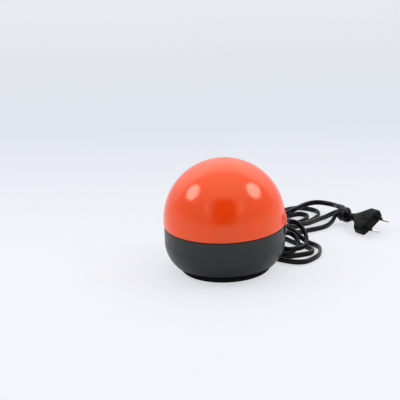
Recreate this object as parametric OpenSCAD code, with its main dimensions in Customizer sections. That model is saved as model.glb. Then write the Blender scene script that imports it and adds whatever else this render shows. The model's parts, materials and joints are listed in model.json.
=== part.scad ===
// Darkroom safelight: a screw-in pygmy lamp under a coloured dome on a bowl-shaped base,
// with a two-core cord and a flat two-pin plug. Millimetres, +Z up.
// Origin: centre of the foot, on the plane that the lamp rests on.

/* [Dome] */
// Outer radius of the dome
dome_r = 65; // [64:0.5:66]
// Height of the straight skirt below the hemisphere
skirt_h = 5; // [4:0.5:6]
// Wall thickness of the dome
dome_wall = 2; // [1.8:0.1:2.2]

/* [Base] */
// Height of the joint line between base and dome
seam_z = 50; // [50:0.5:52]
// How far the base steps in below the dome
base_step = 0.5; // [0.2:0.1:1]
// Radius of the bowl's rounded underside
bowl_corner_r = 34; // [33:0.5:35]
// Wall thickness of the base
base_wall = 2.5; // [2.4:0.1:2.7]
// Radius of the foot
foot_r = 48; // [46:0.5:49]
// Height of the foot below the bowl
foot_h = 6.5; // [6.2:0.1:6.8]

/* [Index pads] */
// Half the width of a pad, as an angle about the lamp's axis
pad_half_angle = 13; // [8:1:18]
// How far a pad stands out
pad_proud = 1.3; // [0.8:0.1:2]
// Height of a pad above or below the joint line
pad_h = 9.5; // [7:0.5:10]

/* [Wall fixing] */
// Distance between the two keyhole slots
keyhole_spacing = 60; // [56:1:62]
// Radius of a keyhole's narrow part
keyhole_slot_r = 2.3; // [2:0.1:2.5]
// Radius of a keyhole's entry
keyhole_entry_r = 4.6; // [4:0.1:5]
// End-to-end length of a keyhole slot
keyhole_len = 22; // [20:1:24]

/* [Bulb] */
// Pitch of the E14 lamp thread
thread_pitch = 2.822; // [2.822]
// Crest radius of the thread on the bulb's cap
cap_crest_r = 6.85; // [6.8:0.01:6.9]
// Depth of the thread
thread_depth = 0.8; // [0.7:0.05:0.8]
// Radial gap between the cap's thread and the holder's
thread_gap = 0.22; // [0.2:0.01:0.25]
// Radius of the glass bulb
glass_r = 13.5; // [12.5:0.5:14]
// Length of the bulb from contact to top
bulb_len = 60; // [58:0.5:62]

/* [Cord and plug] */
// Width of the flat cord
cord_w = 5.8; // [5.4:0.1:5.8]
// Thickness of the flat cord
cord_t = 4.2; // [3.6:0.1:4.4]
// Direction in which the cord leaves the base, from +X towards +Y
cord_az = 35; // [35]
// Direction in which the plug's pins point, from +X
plug_az = -50; // [-50]
// Tilt of the plug about its own length
plug_roll = 26; // [22:1:26]
// Radius of a plug pin
pin_r = 2; // [2]
// Length of a plug pin
pin_len = 19; // [19]
// Distance between the plug's two pins
pin_spacing = 18.6; // [18.6:0.1:19]

/* [Hidden] */

$fn = 96;
eps = 0.01;

// --- levels and radii shared by several pieces ---
base_top_r = dome_r - base_step;
seal_h = 1;
base_top_z = seam_z - seal_h;
bowl_turn_z = 32;
dome_centre_z = seam_z + skirt_h;
floor_top_z = foot_h + base_wall;
// The base's pad stops this far below the rim
pad_drop = 0.3;

collar_out_r = dome_r - 3.6;
collar_wall = 2;
collar_in_r = collar_out_r - collar_wall;
collar_foot_z = seam_z - 7;
collar_top_z = seam_z + 8;

// Bayonet: three lugs in the dome turn under three ribs on the collar
bayonet_count = 3;
lug_half_angle = 5;
lug_z = [seam_z + 2.6, seam_z + 4.6];
rib_z = [seam_z + 4.9, seam_z + 7.4];
rib_from = -8;
rib_to = -28;

// --- screws: [head radius, head height, shank radius] ---
m3 = [2.8, 2, 1.45];
pilot_r = 1.5;
clear_r = 1.7;

// --- cord entry ---
cord_z = 16;
gland_r = 5;
gland_flange_r = 7;
gland_boss_r = 8.5;
gland_seat = 63.5;
gland_inner = 53;
clamp_at = 42;
clamp_screw_y = 8;
clamp_seat_z = cord_z - cord_w / 2 - 0.2;
// Height of the cord's centre line where it lies on edge on the table
lay_z = cord_w / 2 + 0.25;

// --- lamp holder, from the bracket up ---
bracket_z = 13;
bracket_t = 1.2;
bracket_len = 58;
bracket_w = 18;
bracket_hole_x = 24;
core_z = bracket_z + bracket_t;
core_h = 9.8;
core_top_z = core_z + core_h;
core_r = 12;
holder_screw_r = 5.8;
sleeve_out_r = 14.5;
sleeve_top_z = 43;
terminal_at = 9;
terminal_size = 5;
terminal_turn = 50;
wire_z = 18.2;
contact_t = 0.5;
shell_wall = 0.35;
shell_crest_r = cap_crest_r - thread_depth + thread_gap;
shell_z = [27.4, 41.4];

// --- bulb ---
tip_z = core_top_z + contact_t + 0.85;
cap_wall = 0.4;
cap_z = [tip_z + 4, tip_z + 18];
bulb_top_z = tip_z + bulb_len;
glass_wall = 0.8;
glass_neck_r = cap_crest_r - thread_depth - cap_wall - 0.15;
thread_samples = 6;
thread_segments = 24;

// --- reflector plate ---
reflector_z = 35;
reflector_t = 1.2;
reflector_r = 58;
reflector_screw_r = 50;
reflector_az = [95, 215, 335];
cover_screw_r = 38;
cover_az = [90, 210, 330];

// --- plug ---
plug_at = [142.6, 116.2, 12.4];
plug_len = 37;
plug_half_w = 17.4;
plug_t = 13.7;
shoulder_x = 25;
mark_x = 29;
relief_len = 6;
relief_r = 3.6;
pin_root_r = pin_r - 0.5;
sleeve_r = pin_r - 0.25;
sleeve_wall = 0.34;
sleeve_len = 10;

// ---------------------------------------------------------------- helpers

// Children turned about +Z and pushed outwards
module at_azimuth(az, r = 0, z = 0) {
    rotate([0, 0, az]) translate([r, 0, z]) children();
}

// A ring or tube standing on z
module tube(r_out, r_in, h, z = 0) {
    translate([0, 0, z]) difference() {
        cylinder(r = r_out, h = h);
        translate([0, 0, -1]) cylinder(r = r_in, h = h + 2);
    }
}

// A piece of ring between two radii, two heights and two angles
module sector(r_in, r_out, z0, z1, a0, a1) {
    rotate([0, 0, a0]) rotate_extrude(angle = a1 - a0)
        translate([r_in, z0]) square([r_out - r_in, z1 - z0]);
}

// A pan-head screw with a cross recess, head at the top, seat of the head at z = 0
module pan_screw(shank_len, size = m3) {
    recess_w = size[0] * 0.28;
    recess_l = size[0] * 1.1;
    recess_d = size[1] * 0.6;
    difference() {
        union() {
            cylinder(r = size[0], h = size[1], $fn = 48);
            translate([0, 0, -shank_len]) cylinder(r = size[2], h = shank_len + eps, $fn = 32);
        }
        for (turn = [0, 90]) rotate([0, 0, turn])
            translate([-recess_l / 2, -recess_w / 2, size[1] - recess_d])
                cube([recess_l, recess_w, recess_d + 1]);
    }
}

// A hollow slot shape: a stadium of full width w and thickness t, along +X, length len
module stadium_bar(w, t, len) {
    rotate([0, 90, 0]) linear_extrude(len) {
        square([w - t, t], center = true);
        for (side = [-1, 1]) translate([side * (w - t) / 2, 0]) circle(d = t, $fn = 32);
    }
}

function unit(v) = v / norm(v);

// A point on the Catmull-Rom curve through p[i] and p[i + 1]
function spline_point(p, i, t) =
    let (a = p[max(i - 1, 0)], b = p[i], c = p[i + 1], d = p[min(i + 2, len(p) - 1)])
    0.5 * (2 * b + (c - a) * t + (2 * a - 5 * b + 4 * c - d) * t * t
        + (3 * b - a - 3 * c + d) * t * t * t);

// The curve through all points, with n steps between neighbours
function spline(p, n) = concat(
    [for (i = [0 : len(p) - 2]) for (k = [0 : n - 1]) spline_point(p, i, k / n)],
    [p[len(p) - 1]]
);

function tangents(c) = [
    for (i = [0 : len(c) - 1]) unit(c[min(i + 1, len(c) - 1)] - c[max(i - 1, 0)])
];

// Sideways directions carried along the curve without twist
function carried(t, start) = [
    for (i = 0, side = unit(start - (start * t[0]) * t[0]); i < len(t);
        i = i + 1, side = i < len(t) ? unit(side - (side * t[i]) * t[i]) : side) side
];

// Flat oval section of half width a and half thickness b
function oval(a, b, count) = [
    for (k = [0 : count - 1])
        let (turn = 360 * (k + 0.5) / count)
        [sign(cos(turn)) * (a - b) + b * cos(turn), b * sin(turn)]
];

// A closed solid swept along a curve, its section carried without twist
module sweep(curve, section, start) {
    t = tangents(curve);
    side = carried(t, start);
    n = len(section);
    rings = len(curve);
    points = [
        for (i = [0 : rings - 1])
            let (up = cross(t[i], side[i]))
            for (q = section) curve[i] + q[0] * side[i] + q[1] * up
    ];
    walls = [
        for (i = [0 : rings - 2]) for (k = [0 : n - 1])
            let (a = i * n + k, b = i * n + (k + 1) % n)
            each [[a, a + n, b + n], [a, b + n, b]]
    ];
    first = [for (k = [0 : n - 1]) k];
    last = [for (k = [n - 1 : -1 : 0]) (rings - 1) * n + k];
    polyhedron(points, concat(walls, [first, last]));
}

// A thin tube with a round-bottomed screw thread pressed into both its faces
module thread_tube(crest_r, wall, z0, z1) {
    rows = round((z1 - z0) / thread_pitch * thread_samples);
    n = thread_segments;
    mean_r = crest_r - thread_depth / 2;
    points = [
        for (skin = [0, wall]) for (j = [0 : rows]) for (k = [0 : n - 1])
            let (turn = 360 * k / n, z = z0 + (z1 - z0) * j / rows)
            let (r = mean_r - skin + thread_depth / 2 * cos(360 * z / thread_pitch - turn))
            [r * cos(turn), r * sin(turn), z]
    ];
    skin_size = (rows + 1) * n;
    walls = [
        for (skin = [0, 1]) for (j = [0 : rows - 1]) for (k = [0 : n - 1])
            let (a = skin * skin_size + j * n + k, b = skin * skin_size + j * n + (k + 1) % n)
            each skin == 0 ? [[a, a + n, b + n], [a, b + n, b]] : [[a, b + n, a + n], [a, b, b + n]]
    ];
    ends = [
        for (top = [0, 1]) for (k = [0 : n - 1])
            let (row = top * rows * n, a = row + k, b = row + (k + 1) % n)
            each top == 0
                ? [[a, b, b + skin_size], [a, b + skin_size, a + skin_size]]
                : [[a, b + skin_size, b], [a, a + skin_size, b + skin_size]]
    ];
    polyhedron(points, concat(walls, ends));
}

// Places a child built along +X at the plug
module at_plug() {
    translate(plug_at) rotate([plug_roll, 0, plug_az]) children();
}

// ---------------------------------------------------------------- base

// Half section of the bowl, inset by the given thickness
module bowl_section(inset) {
    turn_x = base_top_r - bowl_corner_r;
    r = bowl_corner_r - inset;
    bottom = foot_h + inset;
    translate([0, bowl_turn_z]) square([base_top_r - inset, base_top_z - bowl_turn_z + (inset > 0 ? 1 : 0)]);
    translate([0, bottom]) square([turn_x, bowl_turn_z - bottom]);
    intersection() {
        translate([turn_x, bowl_turn_z]) circle(r = r, $fn = 180);
        translate([turn_x, bottom]) square([r + 1, bowl_turn_z - bottom]);
    }
}

// Upright ring inside the rim, with the three bayonet ribs and their stops
module collar() {
    tube(collar_out_r, collar_in_r, collar_top_z - collar_foot_z, collar_foot_z);
    tube(base_top_r - base_wall + 0.3, collar_out_r - 0.5, 4, collar_foot_z);
    for (k = [0 : bayonet_count - 1]) {
        az = 60 + k * 360 / bayonet_count;
        sector(collar_out_r - 0.5, collar_out_r + 1.1, rib_z[0], rib_z[1], az + rib_to, az + rib_from);
        sector(collar_out_r - 0.5, collar_out_r + 1.1, lug_z[0], rib_z[1], az + rib_to, az + rib_to + 2);
    }
}

// Screw boss rooted in the floor's thickness
module floor_boss(r, top) {
    root_z = floor_top_z - 0.6;
    translate([0, 0, root_z]) cylinder(r = r, h = top - root_z);
}

module base_shell() {
    color("#37393b") difference() {
        union() {
            rotate([0, 0, 180]) rotate_extrude($fn = 180) difference() {
                bowl_section(0);
                bowl_section(base_wall);
            }
            collar();
            sector(base_top_r - 1, base_top_r + pad_proud, base_top_z - pad_h, base_top_z - pad_drop,
                -pad_half_angle, pad_half_angle);
            at_azimuth(cord_az) translate([gland_inner, 0, cord_z]) rotate([0, 90, 0])
                cylinder(r = gland_boss_r, h = gland_seat - gland_inner);
            for (az = reflector_az) at_azimuth(az, reflector_screw_r) floor_boss(4.5, reflector_z);
            for (az = cover_az) at_azimuth(az, cover_screw_r) floor_boss(4.2, 18);
            for (x = [-1, 1]) translate([x * bracket_hole_x, 0, 0]) floor_boss(4.2, bracket_z);
            for (y = [-1, 1]) at_azimuth(cord_az) translate([clamp_at, y * clamp_screw_y, 0])
                floor_boss(3.6, clamp_seat_z);
            at_azimuth(cord_az) translate([clamp_at - 3, -5, floor_top_z - 1])
                cube([6, 10, clamp_seat_z - floor_top_z + 1]);
        }
        at_azimuth(cord_az) translate([gland_inner - 10, 0, cord_z]) rotate([0, 90, 0])
            cylinder(r = gland_r, h = 30);
        for (az = reflector_az) at_azimuth(az, reflector_screw_r, reflector_z - 12)
            cylinder(r = pilot_r, h = 20);
        for (az = cover_az) at_azimuth(az, cover_screw_r, 0) cylinder(r = pilot_r, h = 15);
        for (x = [-1, 1]) translate([x * bracket_hole_x, 0, foot_h + 1.2]) cylinder(r = pilot_r, h = 20);
        for (y = [-1, 1]) at_azimuth(cord_az) translate([clamp_at, y * clamp_screw_y, foot_h + 1.2])
            cylinder(r = pilot_r, h = 20);
    }
}

// Two-ended keyhole: a slot along +X with a round entry at its middle
module keyhole() {
    straight = keyhole_len / 2 - keyhole_slot_r;
    translate([0, 0, -1]) {
        for (end = [-1, 1]) translate([end * straight, 0, 0]) cylinder(r = keyhole_slot_r, h = 6);
        translate([-straight, -keyhole_slot_r, 0]) cube([2 * straight, 2 * keyhole_slot_r, 6]);
        cylinder(r = keyhole_entry_r, h = 6);
    }
}

module foot_cover() {
    plate = 2.4;
    counterbore_r = 3.3;
    counterbore_d = 3;
    color("#151515") difference() {
        union() {
            tube(foot_r, foot_r - 2.5, foot_h);
            cylinder(r = foot_r - 2, h = plate);
            for (az = cover_az) at_azimuth(az, cover_screw_r) cylinder(r = 5.5, h = foot_h);
        }
        for (x = [-1, 1]) translate([x * keyhole_spacing / 2, 0, 0]) keyhole();
        for (az = cover_az) at_azimuth(az, cover_screw_r, -1) {
            cylinder(r = clear_r, h = foot_h + 2);
            cylinder(r = counterbore_r, h = counterbore_d + 1);
        }
        rotate_extrude($fn = 120) polygon([
            [foot_r - 0.8, -eps], [foot_r + 1, -eps], [foot_r + 1, 0.8], [foot_r, 0.8]
        ]);
    }
}

module cover_screws() {
    color("#9a9a98") for (az = cover_az) at_azimuth(az, cover_screw_r, 3)
        rotate([180, 0, 0]) pan_screw(11);
}

// ---------------------------------------------------------------- cord entry

module cord_gland() {
    color("#101010") at_azimuth(cord_az) translate([0, 0, cord_z]) difference() {
        rotate([0, 90, 0]) {
            translate([0, 0, gland_inner + 1]) cylinder(r = gland_r, h = gland_seat - gland_inner);
            translate([0, 0, gland_seat]) cylinder(r = gland_flange_r, h = 2.2);
        }
        translate([gland_inner - 1, 0, 0]) stadium_bar(cord_w + 0.8, cord_t + 0.8, 20);
    }
}

module cord_clamp() {
    roof_z = cord_z + cord_w / 2 + 0.1;
    color("#2b2b2b") at_azimuth(cord_az) difference() {
        translate([clamp_at - 3.5, -clamp_screw_y - 3.5, clamp_seat_z])
            cube([7, 2 * clamp_screw_y + 7, roof_z + 1.8 - clamp_seat_z]);
        translate([clamp_at - 5, -cord_t / 2 - 0.3, clamp_seat_z - 1])
            cube([10, cord_t + 0.6, roof_z - clamp_seat_z + 1]);
        for (y = [-1, 1]) translate([clamp_at, y * clamp_screw_y, clamp_seat_z - 1])
            cylinder(r = clear_r, h = 20);
    }
}

module clamp_screws() {
    head_z = cord_z + cord_w / 2 + 1.9;
    color("#9a9a98") for (y = [-1, 1])
        at_azimuth(cord_az) translate([clamp_at, y * clamp_screw_y, head_z]) pan_screw(12);
}

// A point at the given distance along the plug's length, offset sideways and up
function plug_point(x, side = 0, up = 0) = plug_at + [
    x * cos(plug_az) - side * sin(plug_az),
    x * sin(plug_az) + side * cos(plug_az),
    up
];

// The cord's centre line, piece by piece from the clamp to the plug.
// A point with two numbers lies on the table.
function laid(run) = [for (p = run) len(p) == 2 ? [p[0], p[1], lay_z] : p];

function entry_run() = [
    for (r = [33, 44, 58, 70]) [r * cos(cord_az), r * sin(cord_az), cord_z]
];
small_front_loop = [
    [66, 51, 17], [73, 53.5, 15.5], [79, 47, 12], [80.5, 38, 8], [76, 30, 5], [70, 27, 3.5],
    [65, 29.5], [60.5, 37], [58, 50], [55, 72], [55, 95], [59, 115]
];
small_back_loop = [
    [66, 134], [77, 148], [88, 153], [96, 147], [96.5, 137], [89, 127],
    [78, 118], [68, 107], [62.5, 92]
];
middle_front_loop = [
    [65, 76], [73, 63], [82, 51], [90.5, 41], [95.5, 32], [93, 24], [86, 20],
    [76, 17], [67, 15.5], [59, 21], [54.5, 31], [49.5, 46], [46, 66],
    [46, 85], [47, 110], [51, 135], [60, 155]
];
large_back_loop = [
    [72, 166, 4], [86, 172, 4], [99, 170, 3.5], [109, 161], [110.5, 147], [104, 134],
    [95, 122], [84, 111], [74, 101, 6], [68.5, 91, 12]
];
large_front_loop = [
    [69, 80, 15.5], [76, 70, 13.5], [84, 62, 8], [92, 55, 4], [99, 48], [103, 40],
    [103.5, 29], [101, 17], [95, 7], [87, -1], [79, -3], [71, -1], [62, 4],
    [53.5, 11], [49.5, 20.5], [44, 33], [40, 50], [38, 68], [38, 88],
    [40, 108, 7], [47, 124, 10.5]
];
run_to_plug = [
    [59, 132, 11], [71, 138, 10], [84, 151, 10.5], [97, 162, 12], [109, 166, 12.5],
    [120, 162, 12.5], [129, 153, 13], [133, 142, 15]
];
function turns_round_relief() = [
    for (k = [0 : 10]) let (turn = 60 + 60 * k, r = relief_r + cord_w / 2 + 0.2)
        plug_point(-10.4 + 0.98 * k, r * cos(turn), r * sin(turn))
];
run_back = [
    [147, 130, 4], [146, 141, 4], [141, 151, 4.5], [133, 153, 4.5], [126, 147, 4], [118, 138, 4],
    [108, 126, 5], [99, 113, 6.5], [91, 102, 9], [84, 92, 13], [76, 80, 20]
];
arch_over_hank = [
    [71, 70, 25], [73, 61, 27], [80, 55.5, 27], [86, 49, 22], [89.5, 41, 15], [88.5, 32, 10.5],
    [84, 26, 9.3], [77, 22, 9.3], [69, 20, 9.3], [63, 25, 9.6], [61, 35, 9.8], [61, 48, 9.4],
    [63, 62, 9.4], [68, 76, 8.7], [77, 86, 5], [86, 91]
];
last_run = [
    [95, 96], [104, 100], [113, 105.5], [119.5, 112.5, 3.4], [125, 120.5, 5.5], [129, 126.5, 9.5]
];
function plug_entry() = [plug_point(-12.5, 0.4, -0.5), plug_point(-9), plug_point(-relief_len - 0.3)];

module mains_cord() {
    path = laid(concat(entry_run(), small_front_loop, small_back_loop, middle_front_loop,
        large_back_loop, large_front_loop, run_to_plug, turns_round_relief(), run_back,
        arch_over_hank, last_run, plug_entry()));
    color("#0c0c0d") sweep(spline(path, 3), oval(cord_w / 2, cord_t / 2, 8), [0, 0, 1]);
}

// One insulated core from the cord's end to a terminal; side is -1 or 1
module core_wire(side) {
    start = 32.6;
    z = cord_z + side * 1.3;
    az = cord_az + side * terminal_turn;
    end = terminal_at + terminal_size / 2 + 0.3;
    path = [
        [start * cos(cord_az), start * sin(cord_az), z],
        [(start - 5) * cos(cord_az), (start - 5) * sin(cord_az), z],
        [22 * cos(cord_az + side * 22), 22 * sin(cord_az + side * 22), z + 1],
        [18.5 * cos(az), 18.5 * sin(az), wire_z],
        [16 * cos(az), 16 * sin(az), wire_z],
        [end * cos(az), end * sin(az), wire_z]
    ];
    sweep(spline(path, 4), oval(1.05, 1.04, 8), [0, 0, 1]);
}

module live_wire() {
    color("#6b3a1e") core_wire(1);
}

module neutral_wire() {
    color("#2456a6") core_wire(-1);
}

// ---------------------------------------------------------------- lamp holder

module terminal_blocks() {
    color("#c9a24a") for (side = [-1, 1]) at_azimuth(cord_az + side * terminal_turn) difference() {
        translate([terminal_at - terminal_size / 2, -terminal_size / 2, core_z + 1.3])
            cube([terminal_size, terminal_size, core_h - 1.4]);
        translate([terminal_at - 0.5, 0, wire_z]) rotate([0, 90, 0]) cylinder(r = 1.15, h = 10, $fn = 32);
        translate([terminal_at, 0, core_z]) cylinder(r = pilot_r, h = wire_z - core_z + 0.5, $fn = 32);
    }
}

module terminal_screws() {
    length = 2.2;
    color("#9a9a98") for (side = [-1, 1]) at_azimuth(cord_az + side * terminal_turn)
        translate([terminal_at, 0, wire_z - 1.2 - length]) difference() {
            cylinder(r = pilot_r - 0.05, h = length, $fn = 32);
            translate([-2, -0.25, -1]) cube([4, 0.5, 1.7]);
        }
}

module holder_bracket() {
    flange_h = 3.4;
    flange_half = 17;
    color("#a8abad") difference() {
        union() {
            translate([-bracket_len / 2, -bracket_w / 2, bracket_z])
                cube([bracket_len, bracket_w, bracket_t]);
            for (y = [-bracket_w / 2, bracket_w / 2 - bracket_t])
                translate([-flange_half, y, bracket_z - flange_h])
                    cube([2 * flange_half, bracket_t, flange_h + eps]);
        }
        for (x = [-1, 1]) translate([x * bracket_hole_x, 0, bracket_z - 1]) cylinder(r = clear_r, h = 4);
        for (az = [125, 305]) at_azimuth(az, holder_screw_r, bracket_z - 1) cylinder(r = clear_r, h = 4);
        for (side = [-1, 1]) at_azimuth(cord_az + side * terminal_turn, terminal_at, bracket_z - 5)
            cylinder(r = 2.2, h = 8);
    }
}

module bracket_screws() {
    color("#9a9a98") for (x = [-1, 1])
        translate([x * bracket_hole_x, 0, bracket_z + bracket_t]) pan_screw(6);
}

module holder_core() {
    color("#e8e2d2") difference() {
        translate([0, 0, core_z]) cylinder(r = core_r, h = core_h);
        for (side = [-1, 1]) at_azimuth(cord_az + side * terminal_turn) {
            translate([terminal_at - terminal_size / 2 - 0.1, -terminal_size / 2 - 0.1, core_z + 1.2])
                cube([terminal_size + 6, terminal_size + 0.2, core_h]);
            translate([terminal_at, 0, core_z - 1]) cylinder(r = 1.7, h = 3);
        }
        for (az = [125, 305]) at_azimuth(az, holder_screw_r, core_z - 1) cylinder(r = pilot_r, h = 8);
    }
}

module holder_screws() {
    color("#9a9a98") for (az = [125, 305]) at_azimuth(az, holder_screw_r, bracket_z)
        rotate([180, 0, 0]) pan_screw(6);
}

module holder_sleeve() {
    color("#e8e2d2") difference() {
        translate([0, 0, core_z]) cylinder(r = sleeve_out_r, h = sleeve_top_z - core_z);
        translate([0, 0, core_z - 1]) cylinder(r = core_r + 0.1, h = core_h + 3);
        translate([0, 0, core_z]) cylinder(r = 7.9, h = 40);
        for (side = [-1, 1]) at_azimuth(cord_az + side * terminal_turn)
            translate([core_r - 1, -2.2, core_z - 1]) cube([5, 4.4, 7]);
    }
}

// Spring strip from the live terminal to the middle of the holder
module centre_contact() {
    color("#c9a24a") {
        at_azimuth(cord_az + terminal_turn) translate([0, -2, core_top_z])
            cube([terminal_at + 2, 4, contact_t]);
        translate([0, 0, core_top_z]) cylinder(r = 3, h = contact_t);
        translate([0, 0, core_top_z + contact_t - eps]) cylinder(r = 1.8, h = 0.76);
    }
}

// Strip from the neutral terminal up to the foot of the thread shell
module side_contact() {
    color("#c9a24a") at_azimuth(cord_az - terminal_turn) {
        translate([4.6, -2, core_top_z]) cube([terminal_at + 2 - 4.6, 4, contact_t]);
        translate([7.25, -1.4, core_top_z]) cube([contact_t, 2.8, shell_z[0] - core_top_z - 0.1]);
    }
}

module thread_shell() {
    color("#c9a24a")
        thread_tube(shell_crest_r + thread_depth + shell_wall, shell_wall, shell_z[0], shell_z[1]);
}

// ---------------------------------------------------------------- reflector and seal

module reflector_plate() {
    color("#eceeee") difference() {
        union() {
            translate([0, 0, reflector_z]) cylinder(r = reflector_r, h = reflector_t);
            tube(reflector_r, reflector_r - 1.2, 5, reflector_z);
        }
        translate([0, 0, reflector_z - 1]) cylinder(r = sleeve_out_r + 0.5, h = 10);
        for (az = reflector_az) at_azimuth(az, reflector_screw_r, reflector_z - 1)
            cylinder(r = clear_r, h = 10);
    }
}

module reflector_screws() {
    color("#9a9a98") for (az = reflector_az)
        at_azimuth(az, reflector_screw_r, reflector_z + reflector_t) pan_screw(9);
}

module light_seal() {
    color("#1c0f0c") tube(dome_r - 1, collar_out_r + 0.2, seal_h, base_top_z);
}

// ---------------------------------------------------------------- dome

// Half section of the dome, inset by the given thickness
module dome_section(inset) {
    r = dome_r - inset;
    intersection() {
        translate([0, dome_centre_z]) circle(r = r, $fn = 240);
        translate([0, dome_centre_z]) square([r + 1, r + 1]);
    }
    translate([0, seam_z - inset]) square([r, skirt_h + inset]);
}

module dome() {
    lug_in_r = collar_out_r + 0.4;
    color("#e83a10") {
        difference() {
            union() {
                rotate_extrude($fn = 240) dome_section(0);
                sector(dome_r - 1, dome_r + pad_proud, seam_z, seam_z + pad_h,
                    -pad_half_angle, pad_half_angle);
            }
            rotate_extrude($fn = 240) dome_section(dome_wall);
        }
        for (k = [0 : bayonet_count - 1]) {
            az = 60 + k * 360 / bayonet_count;
            sector(lug_in_r, dome_r - 1, lug_z[0], lug_z[1], az - lug_half_angle, az + lug_half_angle);
        }
    }
}

// ---------------------------------------------------------------- bulb

module bulb_tip() {
    color("#b9bcc0") {
        translate([0, 0, tip_z + 0.8]) cylinder(r = 2.4, h = 0.8);
        translate([0, 0, tip_z]) cylinder(r1 = 1.4, r2 = 2.4, h = 0.8);
    }
}

module bulb_insulator() {
    color("#141414") {
        translate([0, 0, tip_z + 1.6]) cylinder(r1 = 3.2, r2 = 5.4, h = 2.3);
        translate([0, 0, tip_z + 3.9 - eps]) cylinder(r = 5.4, h = 2);
    }
}

module bulb_cap() {
    color("#c8c9c6") thread_tube(cap_crest_r, cap_wall, cap_z[0], cap_z[1]);
}

// Outer radius of the glass at a height between neck and widest part
function glass_flare(t) = 6.6 + (glass_r - 6.6) * t * t * (3 - 2 * t);

module glass_outline(inset) {
    neck = cap_z[1] + 0.1;
    wide = neck + 22;
    crown = bulb_top_z - glass_r;
    steps = 14;
    polygon(concat(
        [[0, neck - 3], [glass_neck_r - inset, neck - 3], [glass_neck_r - inset, neck]],
        [for (k = [0 : steps]) let (t = k / steps)
            [glass_flare(t) - inset, neck + inset + (wide - neck - inset) * t]],
        [for (a = [0 : 6 : 90]) [(glass_r - inset) * cos(a), crown + (glass_r - inset) * sin(a)]]
    ));
}

module bulb_glass() {
    color([0.95, 0.95, 0.92, 0.5]) rotate_extrude() difference() {
        glass_outline(0);
        intersection() {
            glass_outline(glass_wall);
            translate([0, cap_z[1] - 1.9]) square([50, 100]);
        }
    }
}

module bulb_stem() {
    foot = cap_z[1] - 1.9;
    color([0.9, 0.93, 0.93, 0.6]) {
        translate([0, 0, foot]) cylinder(r1 = 4.2, r2 = 2.2, h = 3);
        translate([0, 0, foot + 3 - eps]) cylinder(r = 2.2, h = 11);
    }
}

// Height of the filament and half the distance between its supports
filament_z = cap_z[1] + 26;
filament_half = 6;
stem_top_z = cap_z[1] - 1.9 + 14 - eps;

module lead_wires() {
    color("#b08d57") for (side = [-1, 1]) {
        path = [
            [side * 1, 0, stem_top_z + 0.05],
            [side * 1.6, 0, stem_top_z + 3],
            [side * (filament_half - 1), 0, filament_z - 4],
            [side * filament_half, 0, filament_z + 0.6]
        ];
        sweep(spline(path, 4), oval(0.3, 0.29, 6), [0, 1, 0]);
    }
}

module filament() {
    turns = 9;
    span = filament_half - 0.75;
    coil = [
        for (k = [0 : turns * 8])
            let (t = k / (turns * 8), sag = 1.6 * sin(180 * t))
            [span * (2 * t - 1), 0.7 * cos(360 * turns * t), filament_z - sag + 0.7 * sin(360 * turns * t)]
    ];
    color("#55504a") sweep(coil, oval(0.16, 0.15, 5), [1, 0, 0]);
}

// ---------------------------------------------------------------- plug

module bend_relief() {
    color("#0e0e0f") at_plug() translate([-relief_len, 0, 0]) rotate([0, 90, 0])
        cylinder(r1 = relief_r - 0.5, r2 = relief_r, h = relief_len);
}

// The plug from above: a neck that flares into a broad block over its last third
module plug_plan() {
    flare = [
        for (k = [0 : 11]) let (t = k / 11)
            [3 + (shoulder_x - 3) * t, relief_r + 0.1 + (plug_half_w - relief_r - 0.1) * pow(t, 2.4)]
    ];
    side = concat([[0, relief_r]], flare,
        [[plug_len - 1, plug_half_w + 0.2], [plug_len, plug_half_w - 0.8]]);
    mirrored = [for (k = [len(side) - 1 : -1 : 0]) [side[k][0], -side[k][1]]];
    polygon(concat(side, mirrored));
}

// The plug from the side: thin at the neck, full height over the block
module plug_side() {
    top = [[0, relief_r], [5, relief_r + 0.4], [16, plug_t / 2 - 0.8], [shoulder_x - 3, plug_t / 2],
        [plug_len - 1, plug_t / 2], [plug_len, plug_t / 2 - 1]];
    mirrored = [for (k = [len(top) - 1 : -1 : 0]) [top[k][0], -top[k][1]]];
    polygon(concat(top, mirrored));
}

// The plug seen on its face: broad, with chamfered long edges
module plug_face() {
    half = plug_half_w + 1;
    edge = 4.3;
    polygon([
        [-half, -plug_t / 2 + edge], [-half + edge, -plug_t / 2], [half - edge, -plug_t / 2],
        [half, -plug_t / 2 + edge], [half, plug_t / 2 - edge], [half - edge, plug_t / 2],
        [-half + edge, plug_t / 2], [-half, plug_t / 2 - edge]
    ]);
}

// Rounds the neck where it meets the bend relief
module plug_neck() {
    rotate([0, 90, 0]) rotate_extrude()
        polygon([[0, -1], [relief_r, -1], [relief_r, 3], [relief_r + 2.6, 9], [plug_len, 16],
            [plug_len, plug_len + 2], [0, plug_len + 2]]);
}

module plug_body() {
    color("#121213") at_plug() difference() {
        intersection() {
            plug_neck();
            translate([0, 0, -20]) linear_extrude(40) plug_plan();
            rotate([90, 0, 0]) translate([0, 0, -30]) linear_extrude(60) plug_side();
            rotate([90, 0, 90]) translate([0, 0, -1]) linear_extrude(plug_len + 2) plug_face();
        }
        for (side = [-1, 1]) translate([plug_len - 9, side * pin_spacing / 2, 0])
            rotate([0, 90, 0]) cylinder(r = pin_root_r + 0.01, h = 12);
        translate([mark_x, 0, plug_t / 2 - 0.6]) tube(2.6, 1.9, 3);
    }
}

module plug_pins() {
    root = 8.5;
    tip = 1;
    color("#c9ccd0") at_plug() for (side = [-1, 1])
        translate([plug_len - root, side * pin_spacing / 2, 0]) rotate([0, 90, 0]) {
            difference() {
                cylinder(r = pin_r, h = root + pin_len - tip);
                translate([0, 0, -1]) tube(pin_r + 1, pin_root_r, root + 1);
                translate([0, 0, root]) tube(pin_r + 1, sleeve_r - sleeve_wall - 0.01, sleeve_len);
            }
            translate([0, 0, root + pin_len - tip]) cylinder(r1 = pin_r, r2 = pin_r - 0.8, h = tip);
        }
}

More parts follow.
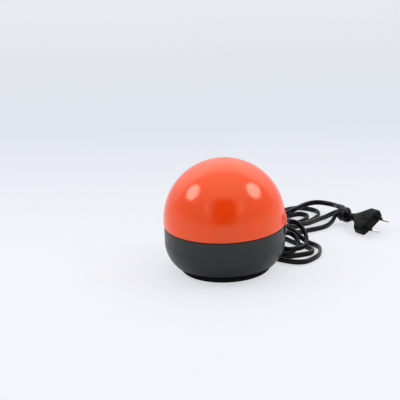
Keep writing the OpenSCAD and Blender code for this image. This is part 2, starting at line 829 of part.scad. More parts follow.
module pin_sleeves() {
    color("#101011") at_plug() for (side = [-1, 1])
        translate([plug_len, side * pin_spacing / 2, 0]) rotate([0, 90, 0])
            tube(sleeve_r, sleeve_r - sleeve_wall, sleeve_len);
}

// ---------------------------------------------------------------- nodes

base_shell();
foot_cover();
cover_screws();
cord_gland();
cord_clamp();
clamp_screws();
mains_cord();
live_wire();
neutral_wire();
terminal_blocks();
terminal_screws();
holder_bracket();
bracket_screws();
holder_core();
holder_screws();
holder_sleeve();
centre_contact();
side_contact();
thread_shell();
reflector_plate();
reflector_screws();
light_seal();
dome();
bulb_tip();
bulb_insulator();
bulb_cap();
bulb_glass();
bulb_stem();
lead_wires();
filament();
bend_relief();
plug_body();
plug_pins();
pin_sleeves();
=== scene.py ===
"""Darkroom safelight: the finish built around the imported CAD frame. Lengths are in metres."""

import json
import math

import bmesh
import bpy
import numpy as np
from mathutils import Matrix, Vector


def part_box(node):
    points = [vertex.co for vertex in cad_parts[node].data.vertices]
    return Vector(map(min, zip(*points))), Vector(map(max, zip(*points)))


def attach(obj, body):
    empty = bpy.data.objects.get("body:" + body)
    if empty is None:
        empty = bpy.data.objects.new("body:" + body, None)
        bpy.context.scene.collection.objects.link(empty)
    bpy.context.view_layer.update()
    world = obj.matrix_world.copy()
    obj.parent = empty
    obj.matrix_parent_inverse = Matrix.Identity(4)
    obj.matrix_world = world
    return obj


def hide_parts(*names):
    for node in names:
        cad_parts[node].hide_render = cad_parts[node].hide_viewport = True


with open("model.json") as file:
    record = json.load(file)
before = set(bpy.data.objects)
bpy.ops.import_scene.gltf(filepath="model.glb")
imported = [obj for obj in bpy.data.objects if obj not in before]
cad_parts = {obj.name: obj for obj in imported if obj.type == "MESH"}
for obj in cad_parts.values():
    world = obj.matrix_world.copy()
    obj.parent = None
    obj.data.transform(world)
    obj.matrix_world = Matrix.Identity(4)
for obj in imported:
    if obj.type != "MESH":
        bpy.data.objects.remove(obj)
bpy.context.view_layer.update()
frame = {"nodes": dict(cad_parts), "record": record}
nodes = frame["nodes"]
mounts = {m["name"]: m for m in frame["record"]["mounts"]}
MM = 0.001

# ------------------------------------------------------------------ sizes, from the frame

dome_lo, dome_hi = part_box("dome")
DOME_R = round(-dome_lo.y, 4)
SEAM_Z = dome_lo.z
DOME_TOP = dome_hi.z
DOME_CENTRE_Z = DOME_TOP - DOME_R
DOME_WALL = 2 * MM
PAD_PROUD = dome_hi.x - DOME_R
PAD_HALF_ANGLE = math.radians(13)

FOOT_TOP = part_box("base_shell")[0].z

plug_far = Vector(mounts["plug_pin_far"]["pos_m"])
plug_near = Vector(mounts["plug_pin_near"]["pos_m"])
PIN_MOUNT_X = 51 * MM  # along the plug, from the back of its neck to the pins' mounts
PLUG_LEN = 37 * MM     # and to its front face
PLUG_AXIS = Vector(mounts["plug_pin_far"]["axis"]).normalized()
PLUG_SIDE = (plug_far - plug_near).normalized()
PLUG_UP = PLUG_AXIS.cross(PLUG_SIDE)
PLUG_ORIGIN = (plug_far + plug_near) / 2 - PLUG_AXIS * PIN_MOUNT_X


def plug_point(along, side=0.0, up=0.0):
    """A point given in the plug's own directions, from the back of its neck."""
    return PLUG_ORIGIN + PLUG_AXIS * along + PLUG_SIDE * side + PLUG_UP * up


def smooth(x, lo, hi):
    """0 below lo, 1 above hi, and an S between them."""
    t = min(1.0, max(0.0, (x - lo) / (hi - lo)))
    return t * t * (3 - 2 * t)


# ------------------------------------------------------------------ materials

class Nodes:
    """A node tree, with short calls for the nodes it is made of."""

    def __init__(self, tree):
        self.tree = tree

    def add(self, kind, **values):
        node = self.tree.nodes.new(kind)
        for key, value in values.items():
            setattr(node, key, value)
        return node

    def feed(self, socket, value):
        if isinstance(value, bpy.types.NodeSocket):
            self.tree.links.new(value, socket)
        else:
            socket.default_value = value

    def between(self, value, lo, hi, out_lo=0.0, out_hi=1.0):
        node = self.add("ShaderNodeMapRange")
        self.feed(node.inputs["Value"], value)
        for socket, number in zip(node.inputs[1:5], (lo, hi, out_lo, out_hi)):
            self.feed(socket, number)
        return node.outputs["Result"]

    def blend(self, share, first, second):
        node = self.add("ShaderNodeMix", data_type="RGBA")
        self.feed(node.inputs["Factor"], share)
        for socket, value in zip((node.inputs[6], node.inputs[7]), (first, second)):
            self.feed(socket, (*value, 1.0) if isinstance(value, tuple) else value)
        return node.outputs[2]

    def maths(self, operation, *values):
        node = self.add("ShaderNodeMath", operation=operation)
        for socket, value in zip(node.inputs, values):
            self.feed(socket, value)
        return node.outputs[0]


class Look(Nodes):
    """A procedural material, worked out from places on the object."""

    def __init__(self, name):
        self.material = bpy.data.materials.new(name)
        self.material.use_nodes = True
        super().__init__(self.material.node_tree)
        self.bsdf = self.tree.nodes["Principled BSDF"]
        self.place = self.add("ShaderNodeTexCoord").outputs["Object"]

    def stretched(self, scale):
        mapping = self.add("ShaderNodeMapping")
        self.feed(mapping.inputs["Vector"], self.place)
        mapping.inputs["Scale"].default_value = scale
        return mapping.outputs["Vector"]

    def noise(self, size, detail=3.0, scale=None):
        node = self.add("ShaderNodeTexNoise")
        self.feed(node.inputs["Vector"], self.stretched(scale) if scale else self.place)
        node.inputs["Scale"].default_value = 1.0 / size
        node.inputs["Detail"].default_value = detail
        return node.outputs["Fac"]

    def cells(self, size):
        node = self.add("ShaderNodeTexVoronoi")
        self.feed(node.inputs["Vector"], self.place)
        node.inputs["Scale"].default_value = 1.0 / size
        return node.outputs["Distance"]

    def bump(self, height, depth, under=None):
        node = self.add("ShaderNodeBump")
        node.inputs["Distance"].default_value = depth
        self.feed(node.inputs["Height"], height)
        if under is not None:
            self.feed(node.inputs["Normal"], under)
        return node.outputs["Normal"]

    def worn_edges(self, start=0.53, end=0.62):
        pointed = self.add("ShaderNodeNewGeometry").outputs["Pointiness"]
        return self.between(pointed, start, end)

    def set(self, **inputs):
        for key, value in inputs.items():
            socket = self.bsdf.inputs[key.replace("_", " ")]
            if socket.type == "RGBA" and isinstance(value, tuple):
                value = (*value, 1.0)
            self.feed(socket, value)


def moulded(name, dark, light, rough, grain, depth, shine=0.5, wear=(0.1, 0.1, 0.1), wear_share=0.25):
    """Moulded plastic or rubber: mottled colour, fine grain, uneven gloss, edges rubbed paler."""
    look = Look(name)
    mottle = look.between(look.noise(14 * MM, 4), 0.3, 0.7)
    body = look.blend(mottle, dark, light)
    specks = look.between(look.noise(0.7 * MM, 2), 0.68, 0.8, 0.0, 0.35)
    dusted = look.blend(specks, body, wear)
    edge = look.maths("MULTIPLY", look.worn_edges(), wear_share)
    uneven = look.between(look.noise(6 * MM, 5), 0.3, 0.7, rough[0], rough[1])
    fine = look.bump(look.noise(grain, 2), depth)
    look.set(Base_Color=look.blend(edge, dusted, wear), Roughness=uneven, Specular_IOR_Level=shine,
             Normal=look.bump(look.noise(9 * MM, 2), depth * 2.0, fine))
    return look


def base_look():
    """The base's dark moulding with painted shade low down: its sheen is dimmed towards the bottom, and its
    colour is painted black where it turns in to the foot.
    """
    look = moulded("base_plastic", (0.0078, 0.0085, 0.0085), (0.0105, 0.0115, 0.0112), (0.30, 0.42),
                   0.25 * MM, 0.02 * MM, 0.36, (0.05, 0.05, 0.05), 0.3)
    height = look.add("ShaderNodeSeparateXYZ")
    look.feed(height.inputs[0], look.place)
    z = height.outputs["Z"]
    body = look.bsdf.inputs["Base Color"].links[0].from_socket
    # painted shade low down: the colour is painted black just above the foot, and the sheen is dimmed
    # towards the bottom
    painted_shade_z = FOOT_TOP + 1.5 * MM
    look.set(Base_Color=look.blend(look.between(z, painted_shade_z, FOOT_TOP + 4 * MM), (0.001,) * 3, body),
             Specular_IOR_Level=look.between(z, painted_shade_z, FOOT_TOP + 18 * MM, 0.0, 0.40))
    return look


def metal(name, bright, dull, rough, brush=(1, 1, 1), depth=0.02 * MM):
    """Bare or plated metal: tarnish in patches, fine drawn lines, edges rubbed bright."""
    look = Look(name)
    tarnish = look.between(look.noise(4 * MM, 5), 0.4, 0.7)
    body = look.blend(tarnish, bright, dull)
    edge = look.maths("MULTIPLY", look.worn_edges(), 0.6)
    lines = look.noise(0.35 * MM, 3, brush)
    gloss = look.between(look.noise(1.5 * MM, 4), 0.3, 0.7, rough[0], rough[1])
    look.set(Base_Color=look.blend(edge, body, tuple(min(1.0, c * 1.25) for c in bright)),
             Metallic=1.0, Roughness=gloss, Normal=look.bump(lines, depth))
    return look


def dome_look():
    """Glossy orange-red plastic with a little light in it, faint moulding ripple and fine dust."""
    look = Look("dome_plastic")
    tone = look.between(look.noise(30 * MM, 3), 0.35, 0.65)
    body = look.blend(tone, (0.97, 0.058, 0.0030), (0.90, 0.064, 0.0042))
    dust = look.between(look.noise(0.5 * MM, 2), 0.72, 0.84, 0.0, 0.25)
    edge = look.maths("MULTIPLY", look.worn_edges(0.56, 0.7), 0.25)
    body = look.blend(dust, body, (0.75, 0.3, 0.2))
    fine = look.bump(look.noise(0.8 * MM, 2), 0.004 * MM)
    look.set(Base_Color=look.blend(edge, body, (0.85, 0.25, 0.15)), IOR=1.56, Specular_IOR_Level=0.58,
             Roughness=look.between(look.noise(12 * MM, 5), 0.3, 0.7, 0.13, 0.2),
             Specular_Tint=(1.0, 0.96, 0.62),
             Subsurface_Weight=0.10, Subsurface_Radius=(3 * MM, 0.6 * MM, 0.2 * MM),
             Normal=look.bump(look.noise(22 * MM, 2), 0.12 * MM, fine))
    return look


def glass_look():
    """Clear bulb glass with slight waves and a few seeds."""
    look = Look("bulb_glass")
    look.set(Base_Color=(0.96, 0.98, 0.97), Transmission_Weight=1.0, IOR=1.47,
             Roughness=look.between(look.noise(5 * MM, 3), 0.3, 0.7, 0.01, 0.06),
             Normal=look.bump(look.noise(6 * MM, 2), 0.05 * MM))
    return look


def foam_look():
    """Black closed-cell foam with open pores on its cut faces."""
    look = Look("seal_foam")
    pores = look.cells(0.5 * MM)
    look.set(Base_Color=look.blend(look.between(pores, 0.1, 0.5), (0.006,) * 3, (0.03,) * 3),
             Roughness=look.between(pores, 0.1, 0.6, 0.85, 1.0), Normal=look.bump(pores, 0.15 * MM))
    return look


def glazed(name, pale, stained, rough, speck=(0.35, 0.3, 0.22)):
    """Glazed ceramic or enamel: slight yellowing, iron specks, soft orange peel."""
    look = Look(name)
    body = look.blend(look.between(look.noise(9 * MM, 4), 0.35, 0.7), pale, stained)
    specks = look.between(look.noise(0.6 * MM, 2), 0.74, 0.8, 0.0, 0.6)
    look.set(Base_Color=look.blend(specks, body, speck), Coat_Weight=0.4, Coat_Roughness=0.1,
             Roughness=look.between(look.noise(3 * MM, 4), 0.3, 0.7, rough[0], rough[1]),
             Normal=look.bump(look.noise(1.6 * MM, 2), 0.03 * MM))
    return look


LOOKS = {
    "dome_plastic": dome_look(),
    "base_plastic": base_look(),
    "foot_plastic": moulded("foot_plastic", (0.0020, 0.0021, 0.0020), (0.0040, 0.0041, 0.0040),
                            (0.6, 0.75), 0.3 * MM, 0.03 * MM, 0.03, (0.03, 0.03, 0.03), 0.25),
    "black_rubber": moulded("black_rubber", (0.004, 0.004, 0.004), (0.008, 0.008, 0.0075), (0.5, 0.7),
                            0.4 * MM, 0.03 * MM, 0.3, (0.04, 0.04, 0.04), 0.2),
    "cord_pvc": moulded("cord_pvc", (0.0025, 0.0026, 0.0026), (0.0045, 0.0046, 0.0045), (0.13, 0.21),
                        1.6 * MM, 0.010 * MM, 0.2, (0.04, 0.04, 0.04), 0.2),
    "plug_plastic": moulded("plug_plastic", (0.0030, 0.0032, 0.0031), (0.0055, 0.0058, 0.0056),
                            (0.36, 0.52), 0.35 * MM, 0.03 * MM, 0.08, (0.05, 0.05, 0.05), 0.25),
    "brown_pvc": moulded("brown_pvc", (0.10, 0.035, 0.014), (0.14, 0.052, 0.022), (0.25, 0.4),
                         0.6 * MM, 0.01 * MM, 0.5, (0.3, 0.2, 0.15), 0.2),
    "blue_pvc": moulded("blue_pvc", (0.012, 0.075, 0.32), (0.02, 0.10, 0.40), (0.25, 0.4),
                        0.6 * MM, 0.01 * MM, 0.5, (0.25, 0.35, 0.5), 0.2),
    "brass": metal("brass", (0.80, 0.56, 0.22), (0.48, 0.31, 0.12), (0.2, 0.42)),
    "steel": metal("steel", (0.62, 0.62, 0.63), (0.42, 0.42, 0.42), (0.22, 0.45)),
    "nickel": metal("nickel", (0.78, 0.76, 0.72), (0.62, 0.60, 0.56), (0.1, 0.28)),
    "solder": metal("solder", (0.62, 0.62, 0.63), (0.36, 0.36, 0.37), (0.35, 0.6), depth=0.08 * MM),
    "lead_wire": metal("lead_wire", (0.55, 0.54, 0.52), (0.32, 0.31, 0.30), (0.3, 0.5)),
    "tungsten": metal("tungsten", (0.25, 0.25, 0.26), (0.12, 0.12, 0.13), (0.35, 0.55)),
    "holder_ceramic": glazed("holder_ceramic", (0.78, 0.74, 0.64), (0.66, 0.60, 0.47), (0.18, 0.34)),
    "reflector_paint": glazed("reflector_paint", (0.86, 0.85, 0.82), (0.78, 0.76, 0.70), (0.25, 0.4)),
    "black_glass": moulded("black_glass", (0.004, 0.004, 0.006), (0.008, 0.008, 0.011), (0.06, 0.14),
                           1.0 * MM, 0.01 * MM, 0.5),
    "bulb_glass": glass_look(),
    "seal_foam": foam_look(),
}

# ------------------------------------------------------------------ mesh helpers

def add_piece(name, points, faces, body, slot, replaces=(), sharp=35):
    """A new mesh piece that rides on a body, with its slot's material and smooth shading."""
    mesh = bpy.data.meshes.new(name)
    mesh.from_pydata([tuple(p) for p in points], [], faces)
    tidy = bmesh.new()
    tidy.from_mesh(mesh)
    bmesh.ops.recalc_face_normals(tidy, faces=tidy.faces)
    tidy.to_mesh(mesh)
    tidy.free()
    mesh.shade_smooth()
    mesh.set_sharp_from_angle(angle=math.radians(sharp))
    piece = bpy.data.objects.new(name, mesh)
    bpy.context.scene.collection.objects.link(piece)
    piece.data.materials.append(LOOKS[slot].material)
    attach(piece, body)
    if replaces:
        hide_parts(*replaces)
    return piece


def join_rings(rings):
    """Points and faces of a skin over rings, each a list of points or a single point at a pole."""
    points, starts = [], []
    for ring in rings:
        starts.append(len(points))
        points.extend(ring)
    faces = []
    for a in range(len(rings) - 1):
        b = a + 1
        n = max(len(rings[a]), len(rings[b]))
        for k in range(n):
            m = (k + 1) % n
            if len(rings[a]) == 1:
                faces.append((starts[a], starts[b] + m, starts[b] + k))
            elif len(rings[b]) == 1:
                faces.append((starts[a] + k, starts[a] + m, starts[b]))
            else:
                faces.append((starts[a] + k, starts[a] + m, starts[b] + m, starts[b] + k))
    return points, faces


def revolve(profile, angles, push=None):
    """Rings of a closed profile of (radius, height) turned about +Z. push gives an outward shift."""
    rings = []
    for r, z in profile:
        if r < 1e-7:
            rings.append([Vector((0, 0, z))])
            continue
        ring = []
        for angle in angles:
            out = r + (push(r, z, angle) if push else 0.0)
            ring.append(Vector((out * math.cos(angle), out * math.sin(angle), z)))
        rings.append(ring)
    return rings


def arc(cx, cz, radius, start, end, steps):
    """Profile points on an arc, angles in degrees from the outward direction."""
    return [(cx + radius * math.cos(math.radians(start + (end - start) * k / steps)),
             cz + radius * math.sin(math.radians(start + (end - start) * k / steps)))
            for k in range(steps + 1)]


def round_angles(count, extra=()):
    """Even angles round a turn, with extra ones where an edge needs them."""
    even = [2 * math.pi * k / count - math.pi for k in range(count)]
    return sorted(even + list(extra))


# extra angles where the index pad's two ends round over
PAD_EDGES = [side * (PAD_HALF_ANGLE + step * math.radians(0.3))
             for side in (-1, 1) for step in (-2, -1, 0, 1, 2)]


def pad_share(angle):
    """1 over the index pad on the +X side, falling to 0 over its rounded ends."""
    return 1 - smooth(abs(angle), PAD_HALF_ANGLE - math.radians(0.5), PAD_HALF_ANGLE + math.radians(0.5))


# ------------------------------------------------------------------ dome

DOME_PAD_TOP = SEAM_Z + 9.5 * MM


def dome_profile():
    """Outer skin from the crown to the rounded rim, then up the inside to the crown."""
    edge = 0.9 * MM
    outer = [(0, DOME_TOP - 0.28 * MM), (1.0 * MM, DOME_TOP - 0.26 * MM), (1.3 * MM, DOME_TOP - 0.05 * MM),
             (1.6 * MM, DOME_TOP - 0.02 * MM), (2.0 * MM, DOME_TOP - 0.08 * MM)]
    outer += arc(0, DOME_CENTRE_Z, DOME_R, 88, 6, 84)
    outer += [(DOME_R, SEAM_Z + z * MM) for z in (10.3, 9.9, 9.5, 9.1, 8.7, 7.5, 6.0, 5.0, 3.5, 2.0, 1.2)
              if SEAM_Z + z * MM < DOME_CENTRE_Z + 0.1 * MM]
    rim = arc(DOME_R - edge, SEAM_Z + edge, edge, 0, -90, 5)
    rim += arc(DOME_R - DOME_WALL + 0.3 * MM, SEAM_Z + 0.3 * MM, 0.3 * MM, -90, -180, 3)
    inner = arc(0, DOME_CENTRE_Z, DOME_R - DOME_WALL, 0, 88, 44)
    return outer + rim + inner + [(0, DOME_TOP - DOME_WALL)]


def dome_push(r, z, angle):
    """The index pad low on the +X side stands proud of the outer skin."""
    if r < DOME_R - 1.5 * MM or z > DOME_PAD_TOP + 1 * MM:
        return 0.0
    flat = DOME_R + PAD_PROUD - r
    return flat * pad_share(angle) * (1 - smooth(z, DOME_PAD_TOP - 0.4 * MM, DOME_PAD_TOP + 0.4 * MM))


def build_dome():
    points, faces = join_rings(revolve(dome_profile(), round_angles(288, PAD_EDGES), dome_push))
    return add_piece("dome_shell", points, faces, "dome", "dome_plastic", ("dome",))


def arc_block(name, radii, heights, centre_deg, span_deg, body, slot, soften=0.25 * MM):
    """A short curved block, such as a bayonet lug, with softened edges."""
    steps = 12
    rings = []
    for k in range(steps + 1):
        angle = math.radians(centre_deg - span_deg / 2 + span_deg * k / steps)
        c, s = math.cos(angle), math.sin(angle)
        corners = [(radii[i], heights[j]) for i, j in ((0, 0), (1, 0), (1, 1), (0, 1))]
        rings.append([Vector((r * c, r * s, z)) for r, z in corners])
    points, faces = join_rings(rings)
    last = len(points) - 4
    faces += [(0, 1, 2, 3), (last, last + 1, last + 2, last + 3)]
    piece = add_piece(name, points, faces, body, slot)
    bevel = piece.modifiers.new("soft_edges", "BEVEL")
    bevel.width = soften
    bevel.segments = 3
    return piece


build_dome()
for index, lug_az in enumerate((60, 180, 300)):
    arc_block(f"dome_lug_{index + 1}", (61.8 * MM, DOME_R - DOME_WALL + 0.4 * MM),
              (SEAM_Z + 2.6 * MM, SEAM_Z + 4.6 * MM), lug_az, 10, "dome", "dome_plastic")

# ------------------------------------------------------------------ mains cord

# half the flat twin cord's width and thickness
CORD_HALF_W = 2.9 * MM
CORD_HALF_T = 2.1 * MM


def cord_centres():
    """Centres of the CAD cord's rings of points, walked from the lamp to the plug."""
    mesh = nodes["mains_cord"].data
    places, index, ids = [], {}, []
    for vertex in mesh.vertices:
        key = tuple(round(c * 1e6) for c in vertex.co)
        if key not in index:
            index[key] = len(places)
            places.append(np.array(vertex.co))
        ids.append(index[key])
    near = [set() for _ in places]
    for face in mesh.polygons:
        corners = [ids[v] for v in face.vertices]
        for a, b in zip(corners, corners[1:] + corners[:1]):
            near[a].add(b)
            near[b].add(a)
    places = np.array(places)
    layer = list(np.argsort(np.hypot(places[:, 0], places[:, 1]))[:8])
    seen, centres = set(layer), []
    while layer:
        centres.append(places[layer].mean(0))
        layer = sorted({b for a in layer for b in near[a]} - seen)
        seen |= set(layer)
    return np.array(centres)


def cord_stands_along(centre):
    """Where the cord's wide side turns to: upright, but along the plug where it winds round its neck."""
    offset = Vector(centre) - PLUG_ORIGIN
    along = offset.dot(PLUG_AXIS)
    away = (offset - PLUG_AXIS * along).length
    upright = np.array((0.0, 0.0, 1.0))
    if not -14 * MM < along < 3 * MM:
        return upright
    if away < 3 * MM:
        return np.array(PLUG_SIDE)
    if away < 9.5 * MM:
        return np.array(PLUG_AXIS)
    return upright


def cord_frames(centres):
    """Forward and wide directions at each centre, turning gently towards how the cord stands."""
    ahead = np.gradient(centres, axis=0)
    ahead /= np.linalg.norm(ahead, axis=1)[:, None]
    wide, wides = np.array((0.0, 0.0, 1.0)), []
    for centre, forward in zip(centres, ahead):
        wide = wide - forward * (wide @ forward)
        wide /= np.linalg.norm(wide)
        goal = cord_stands_along(centre)
        goal = goal - forward * (goal @ forward)
        if goal @ wide < 0:
            goal = -goal
        wide = wide + 0.3 * goal
        wide /= np.linalg.norm(wide)
        wides.append(wide)
    return ahead, np.array(wides)


def refined(values, steps):
    """Catmull-Rom points between the given ones."""
    out = []
    count = len(values)
    for k in range(count - 1):
        p0, p1 = values[max(k - 1, 0)], values[k]
        p2, p3 = values[k + 1], values[min(k + 2, count - 1)]
        for step in range(steps):
            t = step / steps
            out.append(0.5 * (2 * p1 + (p2 - p0) * t + (2 * p0 - 5 * p1 + 4 * p2 - p3) * t * t
                              + (3 * p1 - p0 - 3 * p2 + p3) * t ** 3))
    out.append(values[-1])
    return np.array(out)


def twin_section(count=28):
    """Two cores side by side under one sheath, with a shallow groove between them."""
    out = []
    for k in range(count):
        angle = 2 * math.pi * k / count
        across = math.cos(angle)
        high = math.copysign(abs(math.sin(angle)) ** 0.8, math.sin(angle))
        groove = 1 - 0.30 * math.exp(-(across / 0.24) ** 2)
        out.append((CORD_HALF_W * across, CORD_HALF_T * high * groove))
    return out


def build_cord():
    centres = refined(cord_centres(), 3)
    section = twin_section()
    rings = []
    for centre, forward, wide in zip(centres, *cord_frames(centres)):
        thin = np.cross(forward, wide)
        rings.append([Vector(centre + wide * a + thin * b) for a, b in section])
    points, faces = join_rings([[Vector(centres[0])]] + rings + [[Vector(centres[-1])]])
    return add_piece("mains_cord_flex", points, faces, "base", "cord_pvc", ("mains_cord",), 60)


build_cord()

# ------------------------------------------------------------------ plug

# the block's half width and half thickness, the neck's radius, and two places along the plug
PLUG_HALF_W = 17.4 * MM
PLUG_HALF_T = 6.85 * MM
NECK_R = 3.6 * MM
SHOULDER_X = 25 * MM
BOSS_X = 29 * MM


def plug_station(along):
    """Half width, half thickness and squareness of the plug's outline at a distance along it."""
    flare = min(1.0, max(0.0, (along - 3 * MM) / (SHOULDER_X - 3 * MM)))
    half_w = NECK_R + 0.1 * MM + (PLUG_HALF_W - NECK_R) * flare ** 2.4
    half_t = NECK_R + (PLUG_HALF_T - NECK_R) * smooth(along, 2 * MM, 23 * MM)
    nose = smooth(along, PLUG_LEN - 1.6 * MM, PLUG_LEN)
    square = 2.0 + 2.3 * smooth(along, 6 * MM, SHOULDER_X)
    return half_w - 0.9 * MM * nose ** 2, half_t - 0.9 * MM * nose ** 2, square


def build_plug():
    """The moulded plug: a round neck that flares into a broad, cushioned block."""
    count = 96
    stops = [PLUG_LEN * k / 60 for k in range(57)]
    stops += [PLUG_LEN - step * MM for step in (1.8, 1.4, 1.0, 0.6, 0.3, 0.1, 0)]
    rings = [[plug_point(-0.4 * MM)]]
    for along in stops:
        half_w, half_t, square = plug_station(along)
        rings.append(superellipse(along, half_w, half_t, square, count))
    half_w, half_t, square = plug_station(PLUG_LEN)
    for inset in (0.5, 1.1, 3.0):
        rings.append(superellipse(PLUG_LEN + (0.12 if inset < 1 else 0.2) * MM, half_w - inset * MM,
                                  half_t - inset * MM, square, count))
    rings.append([plug_point(PLUG_LEN + 0.2 * MM)])
    points, faces = join_rings(rings)
    return add_piece("plug_moulding", points, faces, "base", "plug_plastic", ("plug_body",), 50)


def superellipse(along, half_w, half_t, square, count):
    """One outline ring of the plug."""
    ring = []
    for k in range(count):
        angle = 2 * math.pi * k / count
        c, s = math.cos(angle), math.sin(angle)
        side = math.copysign(abs(c) ** (2 / square), c) * half_w
        up = math.copysign(abs(s) ** (2 / square), s) * half_t
        ring.append(plug_point(along, side, up))
    return ring


def along_plug(profile, count=48):
    """Rings of (radius, distance) turned about the plug's long axis."""
    rings = []
    for r, along in profile:
        if r < 1e-7:
            rings.append([plug_point(along)])
        else:
            rings.append([plug_point(along, r * math.cos(2 * math.pi * k / count),
                                     r * math.sin(2 * math.pi * k / count)) for k in range(count)])
    return rings


def build_relief():
    """The ribbed rubber sleeve moulded over the cord behind the plug."""
    relief_len = 6 * MM
    profile = [(0, -relief_len), (2.7 * MM, -relief_len)]
    for k in range(37):
        along = -relief_len + 0.2 * MM + relief_len * k / 36
        radius = NECK_R - 0.5 * MM + 0.5 * MM * k / 36
        groove = 0.25 * MM * smooth(math.cos(2 * math.pi * along / (2 * MM)), 0.2, 0.9)
        profile.append((radius - groove, along))
    rings = along_plug(profile + [(0, 0.2 * MM)])
    points, faces = join_rings(rings)
    return add_piece("bend_relief_ribbed", points, faces, "base", "black_rubber", ("bend_relief",), 50)


def build_plug_mark():
    """The small round boss on the top of the plug: a raised ring with a dished middle."""
    count = 40
    face = plug_station(BOSS_X)[1]
    profile = [(0, 0.1), (1.5, 0.15), (2.2, 0.4), (2.7, 0.75),
               (3.1, 0.8), (3.6, 0.5), (3.9, -0.4), (0, -0.6)]
    rings = []
    for r, up in profile:
        height = face + up * MM
        if r == 0:
            rings.append([plug_point(BOSS_X, 0, height)])
            continue
        angles = [2 * math.pi * k / count for k in range(count)]
        rings.append([plug_point(BOSS_X + r * MM * math.cos(a), r * MM * math.sin(a), height)
                      for a in angles])
    points, faces = join_rings(rings)
    return add_piece("plug_boss_ring", points, faces, "base", "plug_plastic", (), 50)


build_plug()
build_relief()
build_plug_mark()

# ------------------------------------------------------------------ CAD parts that keep their shape

for node in nodes.values():
    if node.hide_render:
        continue
    slot = node.data.materials[0].name.split(".")[0]
    node.data.materials.clear()
    node.data.materials.append(LOOKS[slot].material)

# ------------------------------------------------------------------ studio

# how pale the table top looks unshadowed: by the lamp, in the greyer band of painted shade behind it, and
# far off
NEAR_FLOOR = (0.925, 0.932, 0.965)
SHADED_FLOOR = (0.775, 0.805, 0.852)
FAR_FLOOR = (0.87, 0.89, 0.925)
# the share of that tone the table top gives off itself as painted light, and how bright plain white would
# look under the room's light
FLOOR_PAINTED_GLOW = 0.64
FLOOR_DAYLIGHT = 1.27


def build_floor():
    """A broad pale table top that glows with painted light of its own, so it takes only faint shadows, and
    greys slightly towards the back with painted shade.
    """
    look = Look("pale_floor")
    depth = look.add("ShaderNodeSeparateXYZ")
    look.feed(depth.inputs[0], look.place)
    y = depth.outputs["Y"]
    paper = look.blend(look.noise(0.04, 4), NEAR_FLOOR, tuple(c * 0.99 for c in NEAR_FLOOR))
    # painted shade: a greyer band on the table behind the lamp
    shaded = look.blend(look.between(y, 0.0, 0.55), paper, SHADED_FLOOR)
    tone = look.blend(look.between(y, 0.7, 1.5), shaded, FAR_FLOOR)
    # painted light: the table top gives off part of its own tone, so the shadows on it stay faint
    look.set(Base_Color=look.blend((1 - FLOOR_PAINTED_GLOW) / FLOOR_DAYLIGHT, (0, 0, 0), tone), Emission_Color=tone,
             Emission_Strength=FLOOR_PAINTED_GLOW, Roughness=0.8, Specular_IOR_Level=0.0,
             Normal=look.bump(look.noise(0.002, 3), 0.00002))
    half = 7.0
    mesh = bpy.data.meshes.new("floor")
    corners = [(-half, -half, 0), (half, -half, 0), (half, half, 0), (-half, half, 0)]
    mesh.from_pydata(corners, [], [(0, 1, 2, 3)])
    mesh.materials.append(look.material)
    floor = bpy.data.objects.new("floor", mesh)
    bpy.context.scene.collection.objects.link(floor)


# strength of the room's light, and the plain tone the camera sees behind the table
ROOM_LIGHT = 0.79
SEEN_BACKDROP = (1.0, 1.03, 1.08)


def build_world():
    """A pale room seen in reflections: bright wall and ceiling behind, dimmer in front."""
    world = bpy.data.worlds.new("studio")
    bpy.context.scene.world = world
    world.use_nodes = True
    tree = world.node_tree
    look = Nodes(tree)
    background = tree.nodes["Background"]
    direction = look.add("ShaderNodeTexCoord").outputs["Generated"]
    split = look.add("ShaderNodeSeparateXYZ")
    look.feed(split.inputs[0], direction)
    x, y, z = split.outputs

    def grey(v):
        return (v, v, v * 1.02)

    wall = look.blend(look.between(z, 0.1, 0.65), grey(0.95), grey(2.3))
    ceiling = look.blend(look.between(z, 0.55, 0.95), grey(0.75), grey(1.5))
    front = look.blend(look.between(z, 0.07, 0.10), grey(1.15), ceiling)
    # a soft-cornered dark shape straight ahead of the lamp, where the camera stands
    wide = look.maths("POWER", look.maths("ABSOLUTE", look.maths("DIVIDE", x, 0.37)), 3.2)
    tall = look.maths("POWER", look.maths("ABSOLUTE",
                      look.maths("DIVIDE", look.maths("SUBTRACT", z, 0.46), 0.36)), 3.2)
    shape = look.between(look.maths("ADD", wide, tall), 0.6, 1.5, 1.0, 0.0)
    ahead = look.maths("MULTIPLY", shape, look.between(y, -0.1, 0.0, 1.0, 0.0))
    front = look.blend(ahead, front, grey(0.06))
    # two pale panes, one on each side of it
    aside = look.maths("ABSOLUTE", x)
    across = look.maths("MULTIPLY", look.between(aside, 0.43, 0.48), look.between(aside, 0.60, 0.55))
    upright = look.maths("MULTIPLY", look.between(z, 0.38, 0.46), look.between(z, 0.72, 0.64))
    pane = look.maths("MULTIPLY", look.maths("MULTIPLY", across, upright),
                      look.between(y, -0.1, 0.0, 0.8, 0.0))
    front = look.blend(pane, front, grey(1.9))
    behind = look.between(y, 0.40, 0.49)
    room = look.blend(behind, front, wall)
    camera_ray = look.add("ShaderNodeLightPath").outputs["Is Camera Ray"]
    look.feed(background.inputs["Color"], look.blend(camera_ray, room, SEEN_BACKDROP))
    background.inputs["Strength"].default_value = ROOM_LIGHT


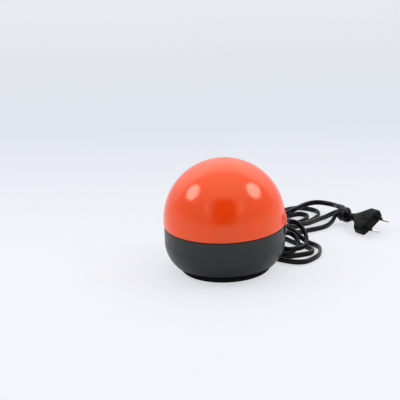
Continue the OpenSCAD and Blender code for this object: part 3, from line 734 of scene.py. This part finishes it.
SOFTBOX_TINT = (0.92, 0.96, 1.18)


def area_light(name, azimuth, elevation, distance, size, power):
    """A soft box round the lamp, aimed at the dome's centre. Azimuth 0 is in front of the lamp."""
    a, e = math.radians(azimuth), math.radians(elevation)
    out = Vector((math.sin(a) * math.cos(e), -math.cos(a) * math.cos(e), math.sin(e)))
    data = bpy.data.lights.new(name, "AREA")
    data.shape = "ELLIPSE"
    data.size, data.size_y = size
    data.energy = power
    data.color = SOFTBOX_TINT
    light = bpy.data.objects.new(name, data)
    bpy.context.scene.collection.objects.link(light)
    light.location = Vector((0, 0, DOME_CENTRE_Z)) + out * distance
    light.rotation_euler = (-out).to_track_quat("-Z", "Y").to_euler()


CAMERA_PLACE = (0, -1.43034, 0.55651)
CAMERA_ANGLES = (18.559, -1.006, 2.3)  # down, to the right and leaning, in degrees
CAMERA_LENS = 128.16                   # in millimetres, on a sensor 36 wide


def build_camera():
    """A long lens looking slightly down at the lamp from the front, with a slight lean."""
    pitch, yaw, lean = (math.radians(angle) for angle in CAMERA_ANGLES)
    forward = Vector((math.sin(yaw) * math.cos(pitch), math.cos(yaw) * math.cos(pitch), -math.sin(pitch)))
    level = Vector((math.cos(yaw), -math.sin(yaw), 0))
    down = forward.cross(level)
    if down.z > 0:
        down = -down
    right = level * math.cos(lean) + down * math.sin(lean)
    below = down * math.cos(lean) - level * math.sin(lean)
    turn = Matrix((right, -below, -forward)).transposed()
    data = bpy.data.cameras.new("camera")
    data.lens = CAMERA_LENS
    data.sensor_width = 36
    data.clip_start, data.clip_end = 0.05, 50
    camera = bpy.data.objects.new("camera", data)
    bpy.context.scene.collection.objects.link(camera)
    camera.matrix_world = Matrix.Translation(CAMERA_PLACE) @ turn.to_4x4()
    bpy.context.scene.camera = camera


build_floor()
build_world()
area_light("softbox_left", -94, 42, 1.1, (0.50, 0.44), 2.9)
area_light("softbox_right", 92, 42.5, 1.1, (0.54, 0.46), 3.1)
build_camera()
bpy.context.scene.view_settings.view_transform = "Standard"
